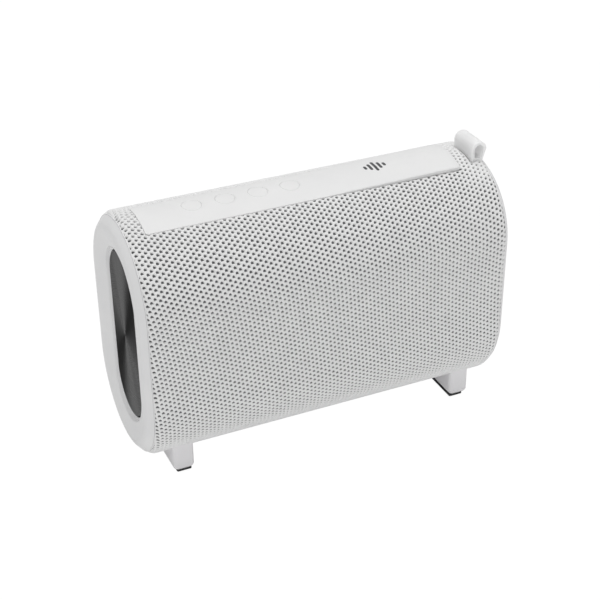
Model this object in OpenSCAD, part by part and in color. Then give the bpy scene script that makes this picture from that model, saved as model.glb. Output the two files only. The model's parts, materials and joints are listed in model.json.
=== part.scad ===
// Portable loudspeaker: a pill-shaped tube lying on two bar feet, wrapped in knitted mesh,
// with a passive radiator in each end, a silicone key strip and a strap loop on top.
// Millimetres. Origin on the floor under the middle of the body, +X to the right,
// -Y to the front, +Z up.

/* [Body] */
// Overall length between the two end faces
body_l = 200; // [198:1:206]
// Depth of the pill-shaped section, front to back
body_d = 81; // [80:0.5:82]
// Height of the pill-shaped section
body_h = 129; // [128:1:132]
// Gap between the floor and the lowest point of the body
floor_gap = 4; // [3.5:0.5:5]
// Wall of the two housing shells
shell_t = 2.4; // [2:0.2:2.6]
// Thickness of the knitted wrap
fabric_t = 1.3; // [1:0.1:1.3]

/* [End caps] */
// Length of the rounded rim, measured from the end face
rim_l = 7.1; // [6:0.1:8]
// Width of the rounded rim, measured in from the side
rim_w = 7.3; // [6:0.1:8]
// Fullness of the rim: 1 is a flat bevel, 2 is a quarter ellipse
rim_power = 1.32; // [1:0.02:2]
// Distance from the end face to the seam between cap and wrap
cap_seam = 4; // [3:0.1:4.5]
// Distance from the side of the body to the edge of the radiator plate
plate_inset = 22.3; // [22:0.1:23]
// How much further the opening and the plate reach, up and down, than an even inset would
opening_stretch = 3.1; // [0:0.1:3.5]
// Travel of a passive radiator each way from rest
radiator_travel = 1.2; // [0.5:0.1:1.2]

/* [Key strip] */
// Left end of the strip
strip_x0 = -86.6; // [-87:0.1:-84]
// Right end of the strip
strip_x1 = 80.1; // [76:0.1:81]
// Angle of the strip's front edge, from the top of the body towards the front
strip_front_deg = 23.5; // [20:0.5:25]
// Angle of the strip's back edge, from the top of the body towards the back
strip_back_deg = 12.5; // [8:0.1:13]
// Height of the strip above the wrap
strip_proud = 0.6; // [0.4:0.1:0.8]
// Place of the first key
key_x0 = -59; // [-61:0.5:-58]
// Distance from one key to the next
key_pitch = 17; // [15:0.5:18]
// Diameter of a key
key_d = 9.9; // [8:0.1:10]
// Travel of a key
key_travel = 0.5; // [0.3:0.05:0.5]

/* [Strap loop] */
// Centre of the loop along the body
loop_x = 92.7; // [92.5:0.1:93]
// Front end of the loop
loop_y0 = -13; // [-13:0.5:-10]
// Back end of the loop
loop_y1 = 5; // [2:0.5:5]
// Outer radius of the loop
loop_r = 4.4; // [4.2:0.1:4.4]
// Wall of the loop
loop_t = 1.9; // [1.6:0.1:1.9]

/* [Feet] */
// Distance from the middle of the body to the middle of a foot
foot_x = 79.2; // [79:0.1:80]
// Width of a foot bar
foot_w = 11; // [10:0.5:11.5]
// Length of a foot bar, front to back
foot_l = 57.2; // [50:0.2:58]
// Radius along the lower edges of a foot bar
foot_edge_r = 2; // [1:0.1:2.2]
// Thickness of a foot's rubber pad
pad_t = 1.1; // [1:0.1:1.2]
// Width of a foot's rubber pad
pad_w = 7.8; // [7:0.1:8]
// How far the right pad is stuck off the middle of its foot
pad_shift = 1.3; // [0:0.1:1.4]

/* [Drivers] */
// Distance from the middle of the body to a driver's axis
driver_x = 42; // [40:1:43]
// Travel of a cone each way from rest
cone_travel = 1.2; // [0.5:0.1:1.2]

/* [Port panel] */
// Width of the panel
panel_w = 56; // [56:1:60]
// Height of the panel
panel_h = 20; // [20:0.5:22]
// Height of the middle of the panel above the floor
panel_z = 60; // [59.5:0.5:61]

/* [Hidden] */
$fn = 72;
r_body = body_d / 2;
half_flat = (body_h - body_d) / 2;
mid_z = floor_gap + body_h / 2;
top_z = mid_z + half_flat;
low_z = mid_z - half_flat;
end_x = body_l / 2;
gap = 0.1;

// Depths in from the outer surface of the pill
shell_in = 2.6;
grille_in = 1.45;
grille_t = 1.0;

// Grille perforations
hole_pitch = 6.5;
grille_hole_r = 2.2;
grille_field_r = 25;

// Stations along X, measured from the middle
shell_x = end_x - 12;
seal_x = shell_x + 0.6;
frame_x = end_x - 9;
seam_x = end_x - cap_seam;
dish_slope = 0.267;
lip_in = plate_inset - 2.7;
plate_x = end_x - 4;
plate_t = 1.2;
weight_t = 3;
weight_in = plate_inset + 2.2;
frame_hole_in = 13;
roll_in = 19.4;
roll_r = radiator_travel + 4.2;
rubber_t = 0.7;

// Screw places on an end frame
peg_y = 33.5;
peg_z = 18;
corner_r = r_body - 6.8;
corner_deg = 45;
screw_r = 1.25;
bore_r = 1.3;

// Housing screws
housing_screw_x = 74;
housing_screw_dz = [-48.5, 43.5];

// Feet screws
foot_screw_y = 12;

// Key strip
strip_r0 = r_body - fabric_t - gap;
strip_r1 = r_body + strip_proud;
tray_r0 = 33.6;
tray_r1 = r_body - fabric_t - 0.2;
opening_grow = 1.5;
key_tilt = 3.5;
key_play = 0.3;
board_r = 34.9;
board_t = 1;
dome_h = 0.7;
key_flange_r = 6.1;
key_flange_t = 0.6;
stem_base = board_r + board_t + dome_h + key_travel + 0.05;
key_base = stem_base + 0.55;

// Strap loop
loop_z = floor_gap + body_h + 3.4;
loop_foot_z = loop_z - 12;
strap_pin_x = 89.8;
strap_pin_z = loop_foot_z + 1.2;
pin_r = 0.9;

// Drivers, measured along the driver's own axis from the front of its flange
driver_y = r_body - 6.2;
baffle_y = driver_y - 1.8;
baffle_t = 2.5;
flange_r = 26;
lobe_r = 27;
basket_hole_r = 23.5;
coil_r = 6.5;
dust_cap_r = 16.3;
dust_cap_edge = 9;
surround_r = cone_travel + 0.85;
surround_t = 0.5;

// Port panel
cover_w = 41.2;
cover_h = 14.3;
cover_t = 1.7;
cover_axis_y = r_body - 1.05;
cover_axis_z = panel_z - 6.25;
usb_x = -9;
usb_z = panel_z + 0.1;
aux_x = 9;
aux_z = panel_z + 1.45;
light_x = 24.4;

// Battery and boards
cell_r = 9.2;
cell_l = 65;
cell_y = 2;
cell_z = 24;
main_y = 20;
main_t = 1.6;
main_w = 80;
main_h = 46;
standoff_x = 36;
standoff_dz = [-18.5, 19.5];

// ---- Shapes that repeat ----

// Depth of the rounded rim at a distance past its start
function rim_in(a) = rim_w * (1 - pow(1 - pow(min(a / rim_l, 1), rim_power), 1 / rim_power));

// Points of the rim, as [x, depth in], between two distances past its start
function rim(a0, a1, steps) = [
    for (i = [0 : steps]) let (a = a0 + (a1 - a0) * i / steps) [end_x - rim_l + a, rim_in(a)]
];

function reverse(list) = [for (i = [len(list) - 1 : -1 : 0]) list[i]];

// A sketch drawn in Y and Z, extruded from x0 to x1
module along_x(x0, x1)
    translate([x0, 0, 0]) rotate([90, 0, 90]) linear_extrude(x1 - x0) children();

module pill_sketch(depth, stretch = 0) {
    square([body_d - 2 * depth, 2 * (half_flat + stretch)], center = true);
    for (side = [-1, 1])
        translate([0, side * (half_flat + stretch)]) circle(r_body - depth);
}

// A solid pill section between two stations, a given depth inside the surface
module pill(x0, x1, depth, stretch = 0)
    translate([0, 0, mid_z]) along_x(x0, x1) pill_sketch(depth, stretch);

// A ring that follows the pill, from a profile given as [x, depth in]
module pill_ring(profile, stretch = 0) {
    for (side = [-1, 1])
        translate([0, 0, low_z - stretch]) linear_extrude(2 * (half_flat + stretch))
            polygon([for (p = profile) [p[0], side * (r_body - p[1])]]);
    for (up = [0, 1])
        translate([0, 0, up == 1 ? top_z + stretch : low_z - stretch])
            rotate([180 * (1 - up), 0, 0]) rotate([90, 0, 90]) rotate_extrude(angle = 180)
                polygon([for (p = profile) [r_body - p[1], p[0]]]);
}

// A piece of a ring about the axis of the upper rounding
module top_sector(r0, r1, x0, x1, grow_deg)
    translate([0, 0, top_z]) rotate([90, 0, 90])
        rotate([0, 0, 90 - strip_back_deg - grow_deg])
            rotate_extrude(angle = strip_front_deg + strip_back_deg + 2 * grow_deg)
                polygon([[r0, x0], [r1, x0], [r1, x1], [r0, x1]]);

// Places children on the key line, with Z pointing out of the body from its upper axis
module on_key_line(x) translate([x, 0, top_z]) rotate([key_tilt, 0, 0]) children();

module box(x, y, z)
    translate([x[0], y[0], z[0]]) cube([x[1] - x[0], y[1] - y[0], z[1] - z[0]]);

// A rod along Y
module rod_y(x, z, y0, y1, r)
    translate([x, y0, z]) rotate([-90, 0, 0]) cylinder(h = y1 - y0, r = r);

// A rod along X
module rod_x(y, z, x0, x1, r)
    translate([x0, y, z]) rotate([0, 90, 0]) cylinder(h = x1 - x0, r = r);

module rod_z(x, y, z0, z1, r) translate([x, y, z0]) cylinder(h = z1 - z0, r = r);

// A rod along Y from y0 with a flat top and bottom and round sides, w wide and h high
module slot_y(w, h, y0)
    translate([0, y0, 0]) rotate([-90, 0, 0]) linear_extrude(20) {
        square([w - h, h], center = true);
        for (s = [-1, 1]) translate([s * (w - h) / 2, 0]) circle(d = h);
    }

// A flat two-core ribbon whose route is drawn as [y, z] points, between x0 and x1
module ribbon(x0, x1, route, t)
    along_x(x0, x1)
        polygon(concat(route, reverse([for (p = route) [p[0], p[1] + t]])));

// Screw places on the end frames, as [y, z]
function corner_places() = [
    for (sy = [-1, 1], sz = [-1, 1])
        [sy * corner_r * cos(corner_deg), mid_z + sz * (half_flat + corner_r * sin(corner_deg))]
];

// Peg places on the end frames, as [y, z]
function peg_places() = [for (sy = [-1, 1], sz = [-1, 1]) [sy * peg_y, mid_z + sz * peg_z]];

// ---- Housing ----

module control_opening()
    top_sector(tray_r0 - 3, r_body + 2, strip_x0 - 0.4, strip_x1 + 0.4, opening_grow);

module strap_notch(x0)
    box([x0, seam_x - 0.5], [loop_y0 - 0.2, loop_y1 + 0.2], [loop_foot_z - 0.2, loop_z]);

module shell_half(side) {
    y = side < 0 ? [-r_body, 0] : [0, r_body];
    intersection() {
        difference() {
            pill(-shell_x, shell_x, shell_in);
            pill(-shell_x - 1, shell_x + 1, shell_in + shell_t);
        }
        box([-end_x, end_x], y, [0, floor_gap + body_h]);
    }
    intersection() {
        union() {
            for (end = [-1, 1], p = corner_places())
                rod_x(p[0], p[1], end * shell_x - (1 + end) * 6, end * shell_x + (1 - end) * 6, 4);
            for (x = [-1, 1], dz = housing_screw_dz)
                rod_y(x * housing_screw_x, mid_z + dz, y[0], y[1], 3.6);
            for (x = [-1, 1])
                rod_z(x * foot_x, side * foot_screw_y, floor_gap, 15, 3.5);
        }
        pill(-shell_x, shell_x, shell_in + 0.5);
        box([-end_x, end_x], y, [0, floor_gap + body_h]);
    }
}

module shell_holes() {
    for (end = [-1, 1], p = corner_places())
        rod_x(p[0], p[1], end * shell_x - 9, end * shell_x + 9, bore_r);
    for (x = [-1, 1], side = [-1, 1])
        rod_z(x * foot_x, side * foot_screw_y, 0, 14, bore_r);
    control_opening();
    strap_notch(shell_x - 1.4);
}

module front_shell() color("#2b2b2d")
    difference() {
        union() {
            shell_half(-1);
            intersection() {
                pill(-shell_x, shell_x, shell_in);
                box([-84, 84], [-r_body, baffle_t - baffle_y], [mid_z - 31, mid_z + 31]);
            }
        }
        box([-82, 82], [-r_body, -baffle_y], [mid_z - 29, mid_z + 29]);
        for (x = [-1, 1]) {
            rod_y(x * driver_x, mid_z, -r_body, 0, basket_hole_r);
            for (a = [45 : 90 : 315])
                rod_y(x * driver_x + lobe_r * cos(a), mid_z + lobe_r * sin(a), -r_body, -26, bore_r);
            for (dz = housing_screw_dz)
                rod_y(x * housing_screw_x, mid_z + dz, -13, 1, bore_r);
        }
        shell_holes();
    }

module rear_shell() color("#2b2b2d")
    difference() {
        union() {
            shell_half(1);
            for (x = [-1, 1], dz = standoff_dz)
                rod_y(x * standoff_x, mid_z + dz, main_y + main_t, r_body - shell_in - 0.5, 3);
        }
        box([-26, 26], [20, r_body], [panel_z - 8, panel_z + 8]);
        for (x = [-1, 1]) {
            for (dz = housing_screw_dz) {
                rod_y(x * housing_screw_x, mid_z + dz, -1, 20, 1.4);
                rod_y(x * housing_screw_x, mid_z + dz, 20, r_body, 2.8);
            }
            for (dz = standoff_dz)
                rod_y(x * standoff_x, mid_z + dz, main_y, 28, bore_r);
        }
        shell_holes();
    }

module end_frame(right) color("#2b2b2d")
    difference() {
        pill(-frame_x, -seal_x, shell_in);
        pill(-frame_x - 1, 0, frame_hole_in);
        for (p = corner_places())
            rod_x(p[0], p[1], -end_x, -shell_x, 1.4);
        for (p = peg_places())
            rod_x(p[0], p[1], -end_x, -shell_x, 2);
        if (right) mirror([1, 0, 0]) {
            strap_notch(shell_x - 1.4);
            rod_y(strap_pin_x, strap_pin_z, loop_y0 - 2.2, loop_y1 + 2.2, pin_r + 0.05);
        }
    }

module left_end_frame() end_frame(false);
module right_end_frame() mirror([1, 0, 0]) end_frame(true);

module end_seals() color("#1c1c1c")
    for (end = [0, 1]) mirror([end, 0, 0])
        difference() {
            pill(-seal_x, -shell_x, shell_in + 0.2);
            pill(-seal_x - 1, 0, frame_hole_in - 0.5);
            for (p = corner_places())
                rod_x(p[0], p[1], -end_x, 0, 1.5);
            for (p = peg_places())
                rod_x(p[0], p[1], -end_x, 0, 2);
            if (end == 1) mirror([1, 0, 0]) strap_notch(shell_x - 1.4);
        }

module end_cap(right) color("#e9e9e8") {
    outer = rim(rim_l - cap_seam, rim_l, 8);
    under_wrap = [for (p = rim(0, rim_l - cap_seam, 3)) [p[0], p[1] + fabric_t + gap]];
    dish_x = end_x - dish_slope * (lip_in - rim_w);
    dish = [
        [dish_x, lip_in], [dish_x - 2.2, lip_in], [end_x - 2.2, rim_w + 0.6],
        [end_x - 2.8, rim_w - 0.1], [seam_x + 0.4, 4.9], [frame_x + gap, 4.5],
        [frame_x + gap, under_wrap[0][1]]
    ];
    ledge = [
        [dish_x - 0.7, lip_in - 0.3], [dish_x - 0.7, lip_in + 0.6],
        [dish_x - 1.2, lip_in + 0.8], [dish_x - 1.2, plate_inset - 0.7],
        [dish_x - 2.4, plate_inset - 0.7], [dish_x - 2.4, lip_in - 0.3]
    ];
    difference() {
        union() {
            difference() {
                mirror([1, 0, 0]) pill_ring(concat(outer, dish, under_wrap));
                pill(-end_x - 1, -frame_x, lip_in, opening_stretch);
            }
            mirror([1, 0, 0]) pill_ring(ledge, opening_stretch);
            for (p = peg_places())
                rod_x(p[0], p[1], -end_x + 1.5, -seal_x, 1.95);
        }
        if (right) mirror([1, 0, 0]) strap_notch(shell_x - 1.4);
    }
}

module left_end_cap() end_cap(false);
module right_end_cap() mirror([1, 0, 0]) end_cap(true);

// Perforations in front of one driver, as [x, z] from the driver's axis
function grille_places() = [
    for (row = [-4 : 4], col = [-5 : 5])
        let (x = (col + (row % 2 == 0 ? 0 : 0.5)) * hole_pitch, z = row * hole_pitch * 0.866)
            if (norm([x, z]) < grille_field_r) [x, z]
];

module front_grille() color("#8d8f92")
    difference() {
        intersection() {
            difference() {
                pill(-shell_x, shell_x, grille_in);
                pill(-end_x, end_x, grille_in + grille_t);
            }
            box([-end_x, end_x], [-r_body, -18.5], [0, floor_gap + body_h]);
        }
        for (side = [-1, 1], p = grille_places())
            rod_y(side * driver_x + p[0], mid_z + p[1], -r_body - 1, -30, grille_hole_r);
    }

module fabric_wrap() color("#dcdcda") {
    edge = rim(0, rim_l - cap_seam - gap, 3);
    inner = [for (p = edge) [p[0], p[1] + fabric_t]];
    left = function (list) [for (p = list) [-p[0], p[1]]];
    difference() {
        pill_ring(concat(left(reverse(edge)), edge, reverse(inner), left(inner)));
        top_sector(r_body - 4, r_body + 4, strip_x0 - gap, strip_x1 + gap, 0.15);
        box([loop_x - loop_r - gap, end_x], [loop_y0 - gap, loop_y1 + gap], [loop_foot_z, loop_z]);
        box([-panel_w / 2 - gap, panel_w / 2 + gap], [30, r_body + 1],
            [panel_z - panel_h / 2 - gap, panel_z + panel_h / 2 + gap]);
        for (x = [-1, 1], side = [-1, 1])
            rod_z(x * foot_x, side * foot_screw_y, 0, 14, 1.6);
    }
}

// ---- Key strip ----

module control_tray() color("#3a3a3c")
    difference() {
        top_sector(tray_r0, tray_r1, strip_x0, strip_x1, opening_grow - 0.1);
        on_key_line(0)
            box([key_x0 - 11, key_x0 + 3 * key_pitch + 11], [-6.9, 6.9], [board_r, r_body]);
    }

module control_strip() color("#ededec")
    difference() {
        top_sector(strip_r0, strip_r1, strip_x0, strip_x1, 0);
        for (i = [0 : 3])
            on_key_line(key_x0 + i * key_pitch)
                translate([0, 0, 30]) cylinder(h = 20, d = key_d + 2 * key_play);
    }

module key(i) color("#ededec")
    on_key_line(key_x0 + i * key_pitch) {
        intersection() {
            translate([0, 0, key_base]) cylinder(h = 10, d = key_d);
            rod_x(0, 0, -key_d, key_d, strip_r1);
        }
        translate([0, 0, key_base]) cylinder(h = key_flange_t, r = key_flange_r);
        translate([0, 0, stem_base]) cylinder(h = key_base - stem_base + 0.1, r = 1.4);
    }

module power_button() key(0);
module volume_down_button() key(1);
module play_button() key(2);
module volume_up_button() key(3);

module button_board() color("#1f5b3a")
    on_key_line(0)
        box([key_x0 - 10.5, key_x0 + 3 * key_pitch + 10.5], [-6.6, 6.6], [board_r, board_r + board_t]);

module dome_switches() color("#c8c8c8")
    for (i = [0 : 3])
        on_key_line(key_x0 + i * key_pitch)
            translate([0, 0, board_r + board_t]) cylinder(h = dome_h, r1 = 2.9, r2 = 1.6);

// ---- Strap loop ----

module strap_loop() color("#e9e9e8")
    translate([loop_x, loop_y1, loop_z]) rotate([90, 0, 0]) {
        w = loop_y1 - loop_y0;
        inner_r = loop_r - loop_t;
        difference() {
            union() {
                cylinder(h = w, r = loop_r);
                linear_extrude(w) polygon([
                    [0.1 - loop_r, 0.3], [loop_r - 0.3, 0.6], [2.4, -6], [2.4, -9.4], [2.6, -9.4],
                    [2.6, -12], [-5.5, -12], [-5.5, -9.4], [-4.2, -9.4], [-4.2, -6]
                ]);
            }
            translate([0, 0, -1]) cylinder(h = w + 2, r = inner_r);
            translate([0, 0, -1]) linear_extrude(w + 2) polygon([
                [0.2 - inner_r, 0.3], [inner_r - 0.2, 0.4], [inner_r - 0.9, -4.5], [0.2 - inner_r, -4.5]
            ]);
            translate([strap_pin_x - loop_x, strap_pin_z - loop_z, -1])
                cylinder(h = w + 2, r = pin_r + 0.05);
        }
    }

module strap_pin() color("#b8babd")
    rod_y(strap_pin_x, strap_pin_z, loop_y0 - 2.1, loop_y1 + 2.1, pin_r);

// ---- Feet ----

module foot(side) color("#e6e4e6")
    difference() {
        translate([side * foot_x, foot_l / 2, 0]) rotate([90, 0, 0])
            linear_extrude(foot_l) {
                translate([-foot_w / 2, pad_t + foot_edge_r]) square([foot_w, 14]);
                translate([foot_edge_r - foot_w / 2, pad_t])
                    square([foot_w - 2 * foot_edge_r, 14]);
                for (s = [-1, 1])
                    translate([s * (foot_w / 2 - foot_edge_r), pad_t + foot_edge_r])
                        circle(foot_edge_r);
            }
        pill(-end_x, end_x, -0.05);
        for (s = [-1, 1]) {
            rod_z(side * foot_x, s * foot_screw_y, 0, 14, 1.4);
            rod_z(side * foot_x, s * foot_screw_y, 0, pad_t + 1.2, 2.5);
        }
    }

module left_foot() foot(-1);
module right_foot() foot(1);

module foot_pad(x) color("#262626") {
    w = pad_w / 2;
    l = foot_l / 2 - 0.3;
    r = 0.8;
    translate([x, 0, 0]) {
        box([-w, w], [r - l, l - r], [0, pad_t]);
        box([r - w, w - r], [-l, l], [0, pad_t]);
        for (sx = [-1, 1], sy = [-1, 1])
            rod_z(sx * (w - r), sy * (l - r), 0, pad_t, r);
    }
}

module left_foot_pad() foot_pad(-foot_x);
module right_foot_pad() foot_pad(foot_x - pad_shift);

// ---- Drivers ----

module at_driver(side)
    translate([side * driver_x, -driver_y, mid_z]) rotate([-90, 0, 0]) children();

module basket(side) color("#3c3d40") at_driver(side)
    difference() {
        union() {
            rotate_extrude() polygon([
                [21, 0], [flange_r, 0], [flange_r, 1.2], [22.9, 1.2], [15.9, 10.2], [15.9, 14],
                [7.6, 14], [7.6, 12.6], [14.6, 12.6], [14.6, 10.6], [13, 10.6], [13, 9.9],
                [14.9, 9.9], [21, 1.6]
            ]);
            for (a = [45 : 90 : 315])
                rotate(a) translate([lobe_r, 0, 0]) cylinder(h = 1.2, r = 3);
        }
        for (a = [0 : 90 : 270])
            rotate(a) translate([16, -7, 3]) cube([10, 14, 5.5]);
        for (a = [45 : 90 : 315])
            rotate(a) translate([lobe_r, 0, -1]) cylinder(h = 4, r = 1.4);
        translate([0, 0, -1]) cylinder(h = 2.3, r = 21);
    }

module left_driver_basket() basket(-1);
module right_driver_basket() basket(1);

module driver_gaskets() color("#1c1c1c")
    for (side = [-1, 1]) at_driver(side)
        translate([0, 0, 1.2]) difference() {
            cylinder(h = 0.6, r = flange_r);
            translate([0, 0, -1]) cylinder(h = 3, r = 23.8);
            for (a = [45 : 90 : 315])
                rotate(a) translate([lobe_r, 0, -1]) cylinder(h = 3, r = 1.4);
        }

module magnet(side) color("#4a4a4c") at_driver(side)
    translate([0, 0, 16.5]) difference() {
        cylinder(h = 6, r = 17);
        translate([0, 0, -1]) cylinder(h = 8, r = 9);
    }

module left_driver_magnet() magnet(-1);
module right_driver_magnet() magnet(1);

module yoke(side) color("#9a9c9f") at_driver(side) {
    translate([0, 0, 22.5]) cylinder(h = 2.5, r = 16);
    translate([0, 0, 14]) cylinder(h = 9, r = coil_r - 0.9);
}

module left_driver_yoke() yoke(-1);
module right_driver_yoke() yoke(1);

module driver_top_plates() color("#9a9c9f")
    for (side = [-1, 1]) at_driver(side)
        translate([0, 0, 14]) difference() {
            cylinder(h = 2.5, r = 16);
            translate([0, 0, -1]) cylinder(h = 5, r = coil_r + 0.8);
        }

module cone(side) color("#1e1e20") at_driver(side) {
    dome = [
        for (i = [0 : 6]) let (r = dust_cap_edge * i / 6)
            [r, 3.2 + dust_cap_r - sqrt(pow(dust_cap_r, 2) - r * r)]
    ];
    rotate_extrude() polygon([[coil_r, 7.6], [19.6, -0.6], [19.6, 0], [coil_r, 8.5]]);
    rotate_extrude() polygon(concat(dome, reverse([for (p = dome) [p[0], p[1] + 0.6]])));
}

module left_driver_cone() cone(-1);
module right_driver_cone() cone(1);

module voice_coil(side) color("#b4763a") at_driver(side)
    rotate_extrude() polygon([
        [coil_r - 0.4, 8], [coil_r, 8], [coil_r, 13], [coil_r + 0.45, 13],
        [coil_r + 0.45, 17.5], [coil_r, 17.5], [coil_r, 18], [coil_r - 0.4, 18]
    ]);

module left_voice_coil() voice_coil(-1);
module right_voice_coil() voice_coil(1);

module driver_surround(side) color("#1a1a1a") at_driver(side)
    rotate_extrude() {
        translate([21.8, -0.7]) intersection() {
            difference() {
                circle(surround_r);
                circle(surround_r - surround_t);
            }
            translate([-3, -3]) square([6, 3]);
        }
        translate([23.35, -0.7]) square([1.25, 0.7]);
        translate([18.9, -1.25]) square([1.35, 0.55]);
    }

module left_driver_surround() driver_surround(-1);
module right_driver_surround() driver_surround(1);

module spider(side) color("#c9a94f") at_driver(side) {
    steps = 16;
    wave = [
        for (i = [0 : steps])
            [coil_r + 0.1 + (14.3 - coil_r) * i / steps, 9.2 - 0.3 * cos(i * 90)]
    ];
    rotate_extrude() polygon(concat(wave, reverse([for (p = wave) [p[0], p[1] + 0.35]])));
}

module left_driver_spider() spider(-1);
module right_driver_spider() spider(1);

// ---- Passive radiators ----

module radiator_plate() color("#3a3b3d")
    pill(-plate_x, plate_t - plate_x, plate_inset, opening_stretch);

module left_radiator_plate() radiator_plate();
module right_radiator_plate() mirror([1, 0, 0]) radiator_plate();

module radiator_weight() color("#8e9093")
    pill(plate_t - plate_x, plate_t + weight_t - plate_x, weight_in);

module left_radiator_weight() radiator_weight();
module right_radiator_weight() mirror([1, 0, 0]) radiator_weight();

module radiator_surround() color("#1b1b1b") {
    lip_x = frame_x + 0.8;
    roll = function (r) [for (a = [0 : 15 : 180]) [r * sin(a) - frame_x - 0.4, roll_in - r * cos(a)]];
    pill_ring(concat(
        [[-lip_x, 9.2], [-frame_x, 9.2]], [[-frame_x, frame_hole_in + 0.5]], roll(roll_r),
        [[-frame_x, weight_in + 3], [-lip_x + 0.05, weight_in + 3]], reverse(roll(roll_r - rubber_t))
    ));
}

module left_radiator_surround() radiator_surround();
module right_radiator_surround() mirror([1, 0, 0]) radiator_surround();

// ---- Battery, boards and sockets ----

module battery_cells() color("#3f78b5")
    for (x = [-cell_l - 0.5, 0.5])
        rod_x(cell_y, cell_z, x, x + cell_l, cell_r);

module battery_tray() color("#3a3a3c")
    difference() {
        box([-68, 68], [cell_y - 11.5, cell_y + 11.5], [12.5, cell_z]);
        rod_x(cell_y, cell_z, -66, 66, cell_r + gap);
    }

module main_board() color("#1f5b3a")
    difference() {
        box([-main_w / 2, main_w / 2], [main_y, main_y + main_t],
            [mid_z - 22.5, mid_z - 22.5 + main_h]);
        for (x = [-1, 1], dz = standoff_dz)
            rod_y(x * standoff_x, mid_z + dz, main_y - 1, main_y + main_t + 1, 1.4);
    }

module bluetooth_module() color("#b9bbbd")
    box([8, 28], [main_y - 2.4, main_y], [mid_z, mid_z + 14]);

module amplifier_chip() color("#202022")
    box([-28, -14], [main_y - 1.4, main_y], [mid_z, mid_z + 14]);

module port_panel() color("#dfdfde")
    difference() {
        union() {
            box([-panel_w / 2, panel_w / 2], [r_body - 2.5, r_body],
                [panel_z - panel_h / 2, panel_z + panel_h / 2]);
            box([-25.8, 25.8], [r_body - 5.5, r_body - 2.4], [panel_z - 7.8, panel_z + 7.8]);
        }
        box([-21, 21], [r_body - 2.2, r_body + 1], [panel_z - 7.5, panel_z + 7.5]);
        translate([0, r_body + 4.2, panel_z + 8.2]) sphere(6);
        rod_x(cover_axis_y, cover_axis_z, -22.6, 22.6, 0.65);
        translate([usb_x, 0, usb_z]) slot_y(9.1, 3.36, 30);
        rod_y(aux_x, aux_z, 30, r_body, 3.08);
        rod_y(light_x, panel_z, 30, r_body + 1, 1.05);
    }

module port_cover() color("#dcdcdb") {
    box([-cover_w / 2, cover_w / 2], [cover_axis_y - cover_t / 2, cover_axis_y + cover_t / 2],
        [cover_axis_z, cover_axis_z + cover_h - cover_t / 2]);
    rod_x(cover_axis_y, cover_axis_z, -cover_w / 2, cover_w / 2, cover_t / 2);
    rod_x(cover_axis_y, cover_axis_z, -22.2, 22.2, 0.6);
}

module usb_c_socket() color("#c4c6c9") translate([usb_x, 0, usb_z])
    difference() {
        intersection() {
            slot_y(8.94, 3.2, 30);
            box([-10, 10], [29, r_body - 2.3], [-5, 5]);
        }
        difference() {
            slot_y(8.3, 2.56, 31);
            box([-3.4, 3.4], [30, 37], [-0.35, 0.35]);
        }
    }

module aux_jack() color("#202022")
    difference() {
        rod_y(aux_x, aux_z, 24.2, r_body - 2.3, 3);
        rod_y(aux_x, aux_z, 25.2, r_body, 1.8);
    }

module port_board() color("#1f5b3a")
    box([-20, 20], [24, 34.8], [panel_z - 2.6, panel_z - 1.6]);

module status_light() color("#f4f4f0")
    rod_y(light_x, panel_z, 34, r_body, 1);

// ---- Fasteners and wiring ----

module screw(shank_r, shank_l, head_r, head_h) {
    cylinder(h = shank_l, r = shank_r, $fn = 32);
    translate([0, 0, -head_h]) difference() {
        cylinder(h = head_h, r = head_r, $fn = 32);
        for (a = [0, 90])
            rotate(a) translate([-head_r * 0.55, -0.25, -1]) cube([head_r * 1.1, 0.5, 1.5]);
    }
}

module housing_screws() color("#a8aaad")
    for (x = [-1, 1], dz = housing_screw_dz)
        translate([x * housing_screw_x, 20, mid_z + dz]) rotate([90, 0, 0])
            screw(screw_r, 32, 2.6, 1.8);

module frame_and_foot_screws() color("#a8aaad") {
    for (end = [0, 1]) mirror([end, 0, 0])
        for (p = corner_places())
            translate([-frame_x, p[0], p[1]]) rotate([0, 90, 0]) screw(screw_r, 11, 2, 1.1);
    for (x = [-1, 1], s = [-1, 1])
        translate([x * foot_x, s * foot_screw_y, pad_t + 1.2]) screw(screw_r, 11, 2.3, 1.1);
}

module driver_and_board_screws() color("#a8aaad") {
    for (side = [-1, 1]) at_driver(side)
        for (a = [45 : 90 : 315])
            rotate(a) translate([lobe_r, 0, 0]) screw(screw_r, 6, 2.2, 1.4);
    for (x = [-1, 1], dz = standoff_dz)
        translate([x * standoff_x, main_y, mid_z + dz]) rotate([-90, 0, 0])
            screw(screw_r, 6, 2.2, 1.4);
}

module wiring() color("#b03030") {
    for (side = [0, 1]) mirror([side, 0, 0])
        ribbon(37, 39.4, [[main_y - gap, 77], [8, 88], [-12, 88], [-21, 84.4]], 0.9);
    ribbon(-3, 3, [[cell_y, cell_z + cell_r + gap], [12, 38], [main_y - gap, 52]], 0.9);
}

front_shell();
rear_shell();
left_end_frame();
right_end_frame();
end_seals();
left_end_cap();
right_end_cap();
front_grille();
fabric_wrap();
control_tray();
control_strip();
power_button();
volume_down_button();
play_button();
volume_up_button();
button_board();
dome_switches();
strap_loop();
strap_pin();
left_foot();
right_foot();
left_foot_pad();
right_foot_pad();
left_driver_basket();
right_driver_basket();
driver_gaskets();
left_driver_magnet();
right_driver_magnet();
left_driver_yoke();
right_driver_yoke();
driver_top_plates();
left_driver_cone();
right_driver_cone();
left_voice_coil();
right_voice_coil();
left_driver_surround();
right_driver_surround();
left_driver_spider();
right_driver_spider();
left_radiator_plate();
right_radiator_plate();
left_radiator_weight();
right_radiator_weight();
left_radiator_surround();
right_radiator_surround();
battery_cells();
battery_tray();
main_board();
bluetooth_module();
amplifier_chip();
port_panel();
port_cover();
usb_c_socket();
aux_jack();
port_board();
status_light();
housing_screws();
frame_and_foot_screws();
driver_and_board_screws();
wiring();
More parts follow.
